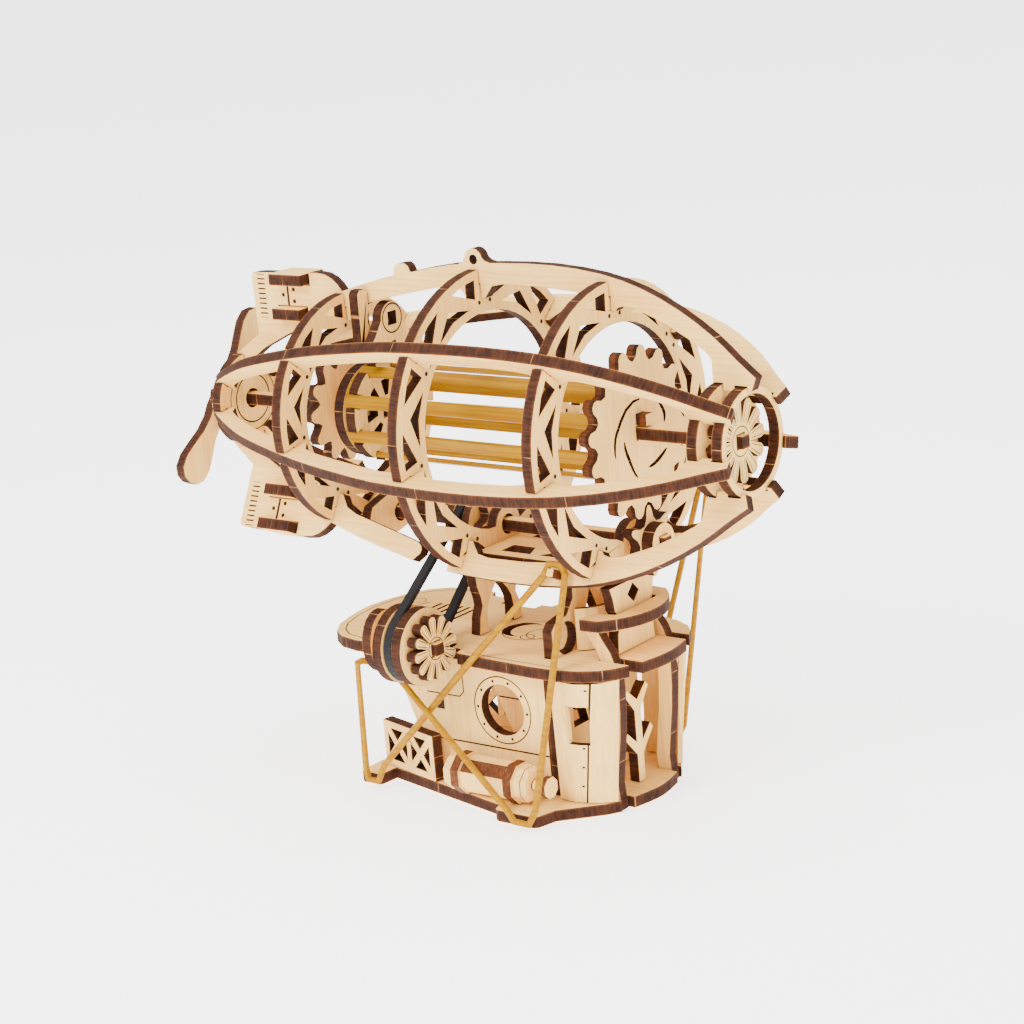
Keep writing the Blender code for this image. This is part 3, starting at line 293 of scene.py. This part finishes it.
def burnt_edge(shader, place, burn, ticks, layered):
    """Colour of a cut edge: soot, paler plies beside the faces, and tab marks."""
    finish = bpy.context.scene.airship_finish
    cloud = shader.noise(place, CLOUD)
    heat = burn.ramp(0.34, 0.66, 0.0, 0.65) + cloud.ramp(0.35, 0.65, 0.0, 0.35)
    soot = shader.mix(heat, tuple(finish.char_deep), tuple(finish.char))
    if layered:
        level = abs(place[2]) / (0.5 * finish.sheet / MM)
        ply = level.ramp(0.55, 1.0, 0.0, 0.85) * burn.ramp(0.30, 0.62, 0.35, 1.0)
        soot = shader.mix(ply, soot, tuple(finish.char_rim))
    mark = ticks(shader) * burn.ramp(0.35, 0.6, 0.15, 0.75)
    return shader.mix(mark, soot, tuple(finish.tick))


def plywood(name, normal, middle, grain, ticks, marks=None, layered=True):
    """Birch face, charred cut edge with plies, tab marks and engraving for one plate."""
    finish = bpy.context.scene.airship_finish
    shader = Shader(name)
    across = Vector(normal).normalized()
    run = Vector(grain).normalized()
    place = (shader.along(run), shader.along(across.cross(run)), shader.along(across, middle))
    face, streak, height = wood_face(shader, place)
    square = shader.facing(across)
    cut = square.ramp(0.35, 0.62, 1.0, 0.0)
    rim = square.ramp(0.62, 0.93, 1.0, 0.0)
    burn = shader.noise(place, BURN, 3.0, 0.6)
    soot = burnt_edge(shader, place, burn, ticks, layered)
    surface = shader.mix(rim * 0.85, face, tuple(finish.char_rim))
    surface = shader.mix(cut, surface, soot)
    if marks is not None:
        drawn = marks(shader) * (1.0 - cut) * burn.ramp(0.15, 0.45, 0.78, 1.0)
        surface = shader.mix(drawn, surface, tuple(finish.engraving))
        height = height - drawn * 4.0
    shader.set(Base_Color=surface, Roughness=(0.62 + cut * 0.18) - streak * 0.08)
    shader.set(Normal=shader.bump(height, 0.35, 0.06 * MM))
    shader.gloss(PLY_GLOSS)
    return shader.material


def dress(node, material):
    """Gives a CAD node its material, clean flat faces and soft cut edges."""
    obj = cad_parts[node]
    for slot in obj.material_slots:
        slot.material = material
    weld = obj.modifiers.new("weld", "WELD")
    weld.merge_threshold = 1e-6
    flat = obj.modifiers.new("flat_faces", "DECIMATE")
    flat.decimate_type = "DISSOLVE"
    flat.angle_limit = math.radians(0.5)
    soft = obj.modifiers.new("soft_edges", "BEVEL")
    soft.width = bpy.context.scene.airship_finish.bevel
    soft.segments = 1
    soft.limit_method = "ANGLE"
    soft.angle_limit = math.radians(50)
    soft.harden_normals = True


def plate(node, normal, grain, ticks, marks=None, layered=True):
    """Dresses a flat CAD plate as plywood."""
    dress(node, plywood(node, normal, middle_of(node, normal), grain, ticks, marks, layered))


def middle_of(node, axis):
    """Where a plate's middle plane crosses its normal, in millimetres."""
    low, high = (Vector(c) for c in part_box(node))
    return ((low + high) / 2).dot(Vector(axis).normalized()) / MM


def every(axis, spacing, offset, half=0.06):
    """Tab marks at even spaces along an axis."""

    def make(shader):
        place = (shader.along(axis) - offset) / spacing
        return abs(place.math("FRACT") - 0.5).under(half / spacing, 0.04 / spacing)

    return make


def around(at, count, turn, half=0.07):
    """Tab marks at even angles round an axis along X."""

    def make(shader):
        off = bend_round(shader.y, shader.z, at, count, turn)[1]
        return off.under(half, SOFT)

    return make


def line_half():
    """Half width of an engraved line."""
    return bpy.context.scene.airship_finish.line


class AIRSHIP_OT_rings(bpy.types.Operator):
    """Finishes the rings of the envelope"""

    bl_idname = "airship.rings"
    bl_label = "Rings"

    def execute(self, context):
        ticks = around(HUB, 11, 13.0)
        for node, outer in (("ring_aft", 27.0), ("ring_mid", 34.0), ("ring_fore", 32.7)):

            def rivets(shader, outer=outer):
                spoke, off = bend_round(shader.y, shader.z, HUB, 7, 90.0)
                return dot(spoke, off, (outer - 7.3, 1.9), 0.5)

            plate(node, ALONG, UP, ticks, rivets)
        return {"FINISHED"}


def radial_of(index):
    """Direction from the envelope's axis to a longeron, counted from the top one."""
    angle = math.radians(90.0 + index * LONGERON_STEP)
    return Vector((0.0, math.cos(angle), math.sin(angle)))


class AIRSHIP_OT_longerons(bpy.types.Operator):
    """Finishes the longerons, with the engraving of the tail fins"""

    bl_idname = "airship.longerons"
    bl_label = "Longerons"

    def execute(self, context):
        names = (
            ("longeron_top", 0), ("longeron_upper_starboard", 1), ("longeron_lower_starboard", 2),
            ("longeron_bottom_starboard_aft", 3), ("longeron_bottom_starboard_fore", 3),
            ("longeron_bottom_port", 4), ("longeron_lower_port", 5), ("longeron_upper_port", 6),
        )
        for node, index in names:
            radial = radial_of(index)
            normal = Vector(ALONG).cross(radial)

            def fin_marks(shader, radial=radial):
                return self.fin(shader.x, shader.along(radial, AXIS_Z * radial.z))

            finned = index in (0, 3, 4) and not node.endswith("fore")
            ticks = every(ALONG, 37.0, 5.0 + 9.0 * index)
            marks = fin_marks if finned else None
            dress(node, plywood(node, normal, AXIS_Z * normal.z, ALONG, ticks, marks))
        return {"FINISHED"}

    @staticmethod
    def fin(u, v):
        """Ruler marks, hinge line and rivets of a tail fin."""
        rows = abs(((v - 19.45) / 1.16).math("FRACT") - 0.5).under(0.17, 0.04)
        ruler = rows.both(box_mark(u, v, (-65.0, 25.3), (1.15, 5.2)))
        hinge = stroke(u, v, (-56.9, 23.4), (-56.9, 28.2), 0.34)
        rivets = [dot(u, v, place, 0.5) for place in ((-58.4, 25.8), (-55.1, 27.2), (-55.1, 24.4))]
        return together([ruler, hinge, *rivets])


class AIRSHIP_OT_fin_plates(bpy.types.Operator):
    """Finishes the short plates across the fins"""

    bl_idname = "airship.fin_plates"
    bl_label = "Fin plates"

    def execute(self, context):
        ticks = every(ALONG, 6.0, 1.4)
        for index, label in ((0, "top"), (3, "bottom_starboard"), (4, "bottom_port")):
            radial = radial_of(index)
            for place, level in (("inner", 21.75), ("outer", 29.85)):
                node = "fin_plate_" + label + "_" + place
                dress(node, plywood(node, radial, level + AXIS_Z * radial.z, ALONG, ticks))
        return {"FINISHED"}


class AIRSHIP_OT_bearings(bpy.types.Operator):
    """Finishes the nose ring, the bearing discs and the shaft brackets"""

    bl_idname = "airship.bearings"
    bl_label = "Bearings"

    def execute(self, context):
        ticks = around(HUB, 5, 31.0)
        plates = (
            ("nose_ring", None), ("nose_bearing", self.hub), ("tail_bearing", self.tail),
            ("tail_cap", None), ("bracket_upper", self.eye), ("bracket_lower", None),
        )
        for node, marks in plates:
            plate(node, ALONG, UP, ticks, marks, node != "bracket_upper")
        return {"FINISHED"}

    @staticmethod
    def tail(shader):
        """Two circles round the tail's bore."""
        half = line_half()
        inner = ring(shader.y, shader.z, HUB, 5.7, half)
        return inner.either(ring(shader.y, shader.z, HUB, 7.6, half * 0.7))

    @staticmethod
    def eye(shader):
        """Circle and slots of the bracket beside the drum."""
        u, v = shader.y, shader.z
        return together([
            ring(u, v, (1.0, 21.4), 3.3, line_half()),
            stroke(u, v, (-1.6, 15.4), (1.6, 15.9), 0.45),
            stroke(u, v, (4.0, 14.4), (4.6, 14.4), 0.6),
        ])

    @staticmethod
    def hub(shader):
        """Rivets round the nose's bore."""
        spoke, off = bend_round(shader.y, shader.z, HUB, 6)
        return dot(spoke, off, (8.6, 0.0), 0.4)


class AIRSHIP_OT_wheels(bpy.types.Operator):
    """Finishes the gears, drum, fans, pulleys and propeller"""

    bl_idname = "airship.wheels"
    bl_label = "Wheels"

    def execute(self, context):
        plates = (
            ("nose_fan", HUB, self.fan(HUB, 9.3), 5), ("main_gear", HUB, None, 5),
            ("drum", HUB, self.flange, 7), ("tail_gear", HUB, None, 5), ("propeller", HUB, None, 3),
            ("pinion", LAYSHAFT, None, 3), ("star_wheel", LAYSHAFT, None, 3),
            ("belt_pulley", LAYSHAFT, None, 3), ("engine_pulley", ENGINE, None, 3),
            ("engine_fan", ENGINE, self.fan(ENGINE, 7.4), 3), ("engine_bracket", ENGINE, None, 4),
        )
        thick = ("drum", "pinion", "belt_pulley", "engine_pulley")
        for node, at, marks, count in plates:
            plate(node, ALONG, UP, around(at, count, 17.0), marks, node not in thick)
        return {"FINISHED"}

    @staticmethod
    def fan(at, reach):
        """Lines in a fan's blades, and a circle round its hub."""

        def marks(shader):
            spoke, off = bend_round(shader.y, shader.z, at, 12, 4.0)
            blades = abs(off - spoke * 0.11).under(0.09, SOFT)
            blades = blades.both(abs(spoke - reach * 0.66).under(reach * 0.22, SOFT))
            return blades.either(ring(shader.y, shader.z, at, reach * 0.34, line_half() * 0.6))

        return marks

    @staticmethod
    def flange(shader):
        """Rivets on the drum's aft flange."""
        spoke, off = bend_round(shader.y, shader.z, HUB, 8, 0.0)
        return dot(spoke, off, (9.3, 0.0), 0.3).both(shader.x.under(-34.0, 0.1))


class AIRSHIP_OT_shafts(bpy.types.Operator):
    """Finishes the square shafts, whose four sides show two faces and two cut edges"""

    bl_idname = "airship.shafts"
    bl_label = "Shafts"

    def execute(self, context):
        for node in ("main_shaft", "tail_shaft", "layshaft", "engine_shaft"):
            plate(node, UP, ALONG, every(ALONG, 21.0, 3.0))
        return {"FINISHED"}


class AIRSHIP_OT_gondola(bpy.types.Operator):
    """Finishes the gondola's decks, walls, ribs and masts"""

    bl_idname = "airship.gondola"
    bl_label = "Gondola"

    TRUSS_LEAN = math.radians(14.6)

    def execute(self, context):
        decks = (("base_plate", None), ("roof", self.roof), ("visor", None), ("keel_plate", None))
        for node, marks in decks:
            plate(node, UP, ALONG, every(ALONG, 23.0, 2.0), marks)
        for node in ("wall_starboard", "wall_port"):
            plate(node, ACROSS, UP, every(ALONG, 17.0, 2.0), self.wall)
        for node in ("rib_starboard", "rib_port"):
            plate(node, ACROSS, UP, every(UP, 14.5, 4.0))
        for node in ("bulkhead", "mast_aft", "mast_fore", "control_lever"):
            plate(node, ALONG, UP, every(UP, 11.5, 4.0))
        for node, side in (("truss_starboard", -1), ("truss_port", 1)):
            normal = (-side * math.sin(self.TRUSS_LEAN), math.cos(self.TRUSS_LEAN), 0.0)
            plate(node, normal, ALONG, every(UP, 5.0, 1.0))
        return {"FINISHED"}

    @staticmethod
    def wall(shader):
        """Riveted porthole rim, waist line and hatch of a side wall."""
        u, v, half = shader.x, shader.z, line_half()
        spoke, off = bend_round(u, v, PORTHOLE, 10)
        return together([
            ring(u, v, PORTHOLE, 7.8, half * 0.8),
            dot(spoke, off, (6.85, 0.0), 0.36),
            stroke(u, v, (-16.5, -71.3), (19.4, -71.3), half),
            drawn_lines(u, v, ((-3.4, -50.0), (-3.4, -59.4), (-4.6, -60.6), (-14.0, -60.6)), half * 0.8),
            dot(u, v, (-4.5, -55.1), 0.3),
            box_mark(u, v, (-10.4, -62.8), (1.1, 1.5)),
        ])

    @staticmethod
    def roof(shader):
        """Border lines and ornaments of the roof."""
        u, v, half = shader.x, abs(shader.y), line_half()
        border = (
            (-41.6, 0.0), (-40.8, 6.6), (-39.0, 12.2), (-36.6, 15.8), (-33.2, 18.4), (-28.6, 19.4),
            (-22.0, 19.4),
        )
        return together([
            drawn_lines(u, v, ((0.4, 18.2), (10.0, 18.9), (27.0, 19.2)), half * 0.8),
            drawn_lines(u, v, border, half * 0.8),
            stroke(u, v, (-33.8, 3.0), (-31.2, 8.6), half),
            ring(u, v, (-34.6, 8.6), 1.7, half * 0.7),
            ring(u, shader.y, (5.2, 0.0), 6.6, half * 0.8),
            ring(u, shader.y, (9.0, -1.0), 3.6, half * 0.8),
            ring(u, shader.y, (7.0, -4.0), 1.6, half * 0.8),
        ])


class AIRSHIP_OT_bent_panels(bpy.types.Operator):
    """Finishes the bent corner panels, the cowl and the tank"""

    bl_idname = "airship.bent_panels"
    bl_label = "Bent panels"

    def execute(self, context):
        finish = context.scene.airship_finish
        pieces = (
            ("corner_panel_starboard", self.door), ("corner_panel_port", self.door),
            ("mast_cowl", self.cowl), ("tank", self.tank),
        )
        for node, add_marks in pieces:
            shader = Shader(node)
            streak = shader.noise(shader.place, (1.4, 1.4, 0.06), 4.0, 0.6)
            tone = streak.ramp(0.35, 0.72, 0.0, 0.7)
            face = shader.mix(tone, tuple(finish.birch), tuple(finish.birch_dark))
            face = add_marks(shader, face, finish)
            shader.set(Base_Color=face, Roughness=0.6, Normal=shader.bump(streak, 0.3, 0.05 * MM))
            shader.gloss(PLY_GLOSS)
            dress(node, shader.material)
        return {"FINISHED"}

    @staticmethod
    def door(shader, face, finish):
        """Door line with studs, and dark cut ends."""
        rows = abs(((shader.z + 60.0) / 4.6).math("FRACT") - 0.5).under(0.05, 0.02)
        edge = shader.x - shader.z * 0.165 - 42.75
        line = abs(edge).under(finish.line, SOFT)
        studs = rows.both(abs(edge + 0.9).under(0.3, SOFT))
        cut = shader.facing(UP).ramp(0.5, 0.8)
        return shader.mix(together([line, studs, cut]), face, tuple(finish.engraving))

    @staticmethod
    def cowl(shader, face, finish):
        """Dark cut ends."""
        cut = shader.facing(UP).ramp(0.5, 0.8)
        return shader.mix(cut, face, tuple(finish.char))

    @staticmethod
    def tank(shader, face, finish):
        """Charred straps, upper edge and end rims."""
        from_middle = abs(shader.x - 7.9)
        straps = abs(from_middle - 7.3).under(1.25, 0.1).both(shader.facing(ALONG).under(0.5))
        upper = shader.facing((0, 1, -1)).ramp(1.25, 1.35).both(from_middle.under(6.2, 0.1))
        rims = abs(abs(shader.x - 21.2) - 2.1).under(0.75, SOFT).both(shader.facing(ALONG).under(0.6))
        burn = shader.noise(shader.place, (2.4, 0.8, 0.8), 3.0)
        soot = shader.mix(burn.ramp(0.35, 0.65), tuple(finish.char), tuple(finish.char_rim))
        return shader.mix(together([straps, upper, rims]), face, soot)


class AIRSHIP_OT_rubber(bpy.types.Operator):
    """Finishes the rubber motor, the stays and the drive belt"""

    bl_idname = "airship.rubber"
    bl_label = "Rubber"

    def execute(self, context):
        finish = context.scene.airship_finish
        for node in ("rubber_motor", "stay_starboard", "stay_port"):
            shader = Shader(node)
            streak = shader.noise(shader.place, (0.04, 1.1, 1.1), 3.0)
            tone = streak.ramp(0.35, 0.68)
            face = shader.mix(tone, tuple(finish.rubber_yellow), tuple(finish.rubber_shade))
            shader.set(Base_Color=face, Roughness=0.28 + streak * 0.15)
            shader.set(Normal=shader.bump(streak, 0.3, 0.08 * MM))
            shader.gloss(0.06)
            dress(node, shader.material)
        shader = Shader("drive_belt")
        weave = shader.noise(shader.place, (3.0, 2.5, 2.5))
        face = shader.mix(weave, tuple(finish.rubber_black), tuple(finish.rubber_worn))
        shader.set(Base_Color=face, Roughness=0.55 + weave * 0.2)
        shader.set(Normal=shader.bump(weave, 0.5, 0.08 * MM))
        shader.gloss(0.15)
        dress("drive_belt", shader.material)
        return {"FINISHED"}


class AIRSHIP_OT_stage(bpy.types.Operator):
    """Adds the floor, the lights and the camera"""

    bl_idname = "airship.stage"
    bl_label = "Stage"

    FLOOR_HALF = 6.0
    FLOOR_DROP = 0.0003
    FLOOR_GLOW = 2.4
    SKY_STRENGTH = 1.25
    FRAME_WIDTH = 1024.0
    FOCAL_PIXELS = 2683.0
    SENSOR_WIDTH = 36.0
    CAMERA_ANGLES = (38.54, 14.84, -4.96)
    CAMERA_TARGET = (2.51, 0.0, -21.1)
    CAMERA_REACH = 598.71

    def execute(self, context):
        self.floor()
        self.lights()
        self.camera(context)
        return {"FINISHED"}

    def floor(self):
        """Pale floor just under the base plate."""
        finish = bpy.context.scene.airship_finish
        size = self.FLOOR_HALF
        corners = [(-size, -size), (size, -size), (size, size), (-size, size)]
        mesh = bpy.data.meshes.new("floor")
        mesh.from_pydata([(x, y, -self.FLOOR_DROP) for x, y in corners], [], [(0, 1, 2, 3)])
        floor = bpy.data.objects.new("floor", mesh)
        bpy.context.scene.collection.objects.link(floor)
        shader = Shader("floor_paint")
        haze = shader.noise(shader.place, (0.002, 0.002, 0.002))
        paint = shader.mix(haze * 0.1, tuple(finish.floor), tuple(finish.floor_haze))
        shader.set(Base_Color=paint, Roughness=0.85)
        shader.set(Emission_Color=paint, Emission_Strength=self.FLOOR_GLOW)
        mesh.materials.append(shader.material)

    def lights(self):
        """Bright studio air and three soft round lamps."""
        world = bpy.data.worlds.new("studio")
        bpy.context.scene.world = world
        world.use_nodes = True
        air = world.node_tree.nodes["Background"]
        air.inputs["Color"].default_value = (1, 1, 1, 1)
        air.inputs["Strength"].default_value = self.SKY_STRENGTH
        focus = Vector((0.0, 0.0, 0.07))
        for name, place, size, power in (
            ("key", (-0.15, -0.75, 0.75), 0.55, 15.0),
            ("fill", (0.85, -0.25, 0.45), 0.7, 4.5),
            ("top", (0.0, 0.1, 0.95), 0.8, 8.0),
        ):
            data = bpy.data.lights.new(name, "AREA")
            data.shape = "DISK"
            data.size = size
            data.energy = power
            lamp = bpy.data.objects.new(name, data)
            bpy.context.scene.collection.objects.link(lamp)
            lamp.location = place
            lamp.rotation_euler = (focus - Vector(place)).to_track_quat("-Z", "Y").to_euler()

    def camera(self, context):
        """Camera at the angle from which the model is mostly seen."""
        azimuth, elevation, roll = (math.radians(a) for a in self.CAMERA_ANGLES)
        flat = math.cos(elevation)
        back = Vector((math.sin(azimuth) * flat, -math.cos(azimuth) * flat, math.sin(elevation)))
        level = Vector((math.cos(azimuth), math.sin(azimuth), 0.0))
        rise = back.cross(level)
        right = level * math.cos(roll) + rise * math.sin(roll)
        up = rise * math.cos(roll) - level * math.sin(roll)
        target = (Vector(self.CAMERA_TARGET) + Vector((0.0, 0.0, AXIS_Z))) * MM
        data = bpy.data.cameras.new("camera")
        data.sensor_width = self.SENSOR_WIDTH
        data.lens = self.FOCAL_PIXELS / self.FRAME_WIDTH * self.SENSOR_WIDTH
        data.clip_start = 0.01
        data.clip_end = 50.0
        camera = bpy.data.objects.new("camera", data)
        context.scene.collection.objects.link(camera)
        turn = Matrix((right, up, back)).transposed().to_4x4()
        camera.matrix_world = Matrix.Translation(target + back * self.CAMERA_REACH * MM) @ turn
        context.scene.camera = camera


OPERATORS = (
    AIRSHIP_OT_rings, AIRSHIP_OT_longerons, AIRSHIP_OT_fin_plates, AIRSHIP_OT_bearings, AIRSHIP_OT_wheels,
    AIRSHIP_OT_shafts, AIRSHIP_OT_gondola, AIRSHIP_OT_bent_panels, AIRSHIP_OT_rubber, AIRSHIP_OT_stage,
)


class AIRSHIP_PT_finishes(bpy.types.Panel):
    """Lists the pieces and their settings"""

    bl_label = "Airship"
    bl_space_type = "VIEW_3D"
    bl_region_type = "UI"
    bl_category = "Airship"

    def draw(self, context):
        for operator in OPERATORS:
            self.layout.operator(operator.bl_idname)
        for key in AirshipFinish.__annotations__:
            self.layout.prop(context.scene.airship_finish, key)


CLASSES = (AirshipFinish, *OPERATORS, AIRSHIP_PT_finishes)


def register():
    for item in CLASSES:
        bpy.utils.register_class(item)
    bpy.types.Scene.airship_finish = PointerProperty(type=AirshipFinish)


def unregister():
    del bpy.types.Scene.airship_finish
    for item in reversed(CLASSES):
        bpy.utils.unregister_class(item)


def main():
    """Registers the add-on and makes every piece."""
    register()
    for operator in OPERATORS:
        group, name = operator.bl_idname.split(".")
        getattr(getattr(bpy.ops, group), name)()


if __name__ == "__main__":
    main()
